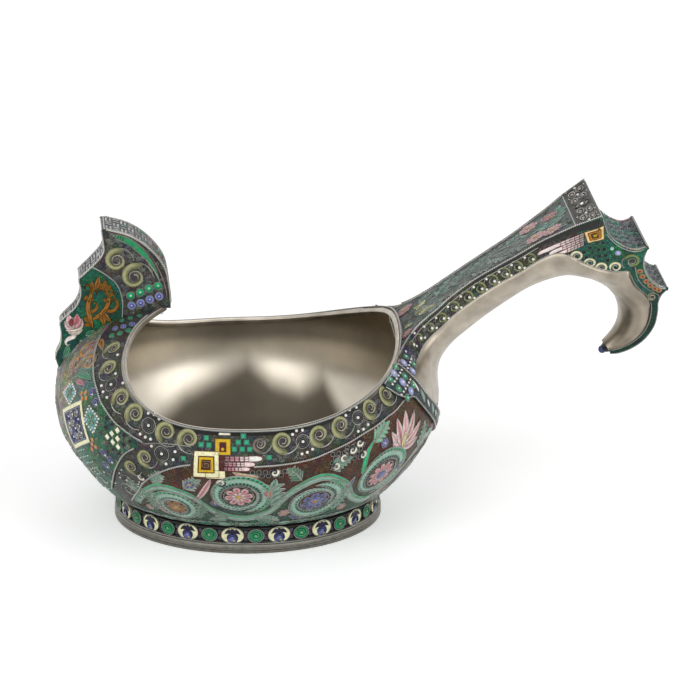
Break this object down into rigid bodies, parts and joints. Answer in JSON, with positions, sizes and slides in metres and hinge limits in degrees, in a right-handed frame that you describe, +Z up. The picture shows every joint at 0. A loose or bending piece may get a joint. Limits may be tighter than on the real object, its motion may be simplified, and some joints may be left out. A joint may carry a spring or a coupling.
{
  "type": "kovsh",
  "caption": "Round footed drinking ladle with a saddle-shaped mouth, a tall stepped prow and a flat-topped handle that ends in a downturned hook, in silver with cell enamel.",
  "frame": {"origin": "on the ground plane, under the middle of the whole vessel's length and width", "axes": "+X along the length from the prow to the hooked handle, +Y across to the far side, +Z up; the foot ring's axis is at x = -0.0441"},
  "size_m": [0.2384, 0.1512, 0.1255],
  "materials": {
    "plain_silver": "warm grey silver, softly worn satin",
    "wire_silver": "twisted silver wire with dark grooves",
    "brocade_silver": "oxidised silver worked in a woven pattern",
    "slate_enamel": "glossy slate blue cell enamel on silver",
    "green_enamel": "glossy deep green cell enamel on silver",
    "black_enamel": "glossy green-black cell enamel on silver",
    "blue_enamel": "glossy blue enamel bead"
  },
  "bodies": {
    "root": {"bowl": "plain_silver", "rim_lip": "plain_silver", "rim_rope_wire": "wire_silver", "foot_flange": "plain_silver", "foot_band": "black_enamel", "foot_lower_wire": "wire_silver", "foot_upper_wire": "wire_silver", "prow_near_cheek": "slate_enamel", "prow_far_cheek": "slate_enamel", "prow_crest_strip": "brocade_silver", "prow_upper_step": "brocade_silver", "prow_middle_step": "brocade_silver", "prow_lower_step": "brocade_silver", "prow_near_crest_wire": "wire_silver", "prow_far_crest_wire": "wire_silver", "handle_underside": "plain_silver", "handle_near_side": "green_enamel", "handle_far_side": "green_enamel", "handle_top_plate": "slate_enamel", "handle_end_panel": "brocade_silver", "handle_upper_step": "brocade_silver", "handle_lower_step": "brocade_silver", "hook_back_strip": "green_enamel", "hook_tip_bead": "blue_enamel", "handle_near_edge_wire": "wire_silver", "handle_far_edge_wire": "wire_silver", "collar_near_strap": "green_enamel", "collar_far_strap": "green_enamel", "collar_near_wire": "wire_silver", "collar_far_wire": "wire_silver", "rim_border_near_wire": "wire_silver", "rim_border_far_wire": "wire_silver", "panel_upper_near_wire": "wire_silver", "panel_upper_far_wire": "wire_silver", "panel_lower_near_wire": "wire_silver", "panel_lower_far_wire": "wire_silver"}
  },
  "joints": []
}
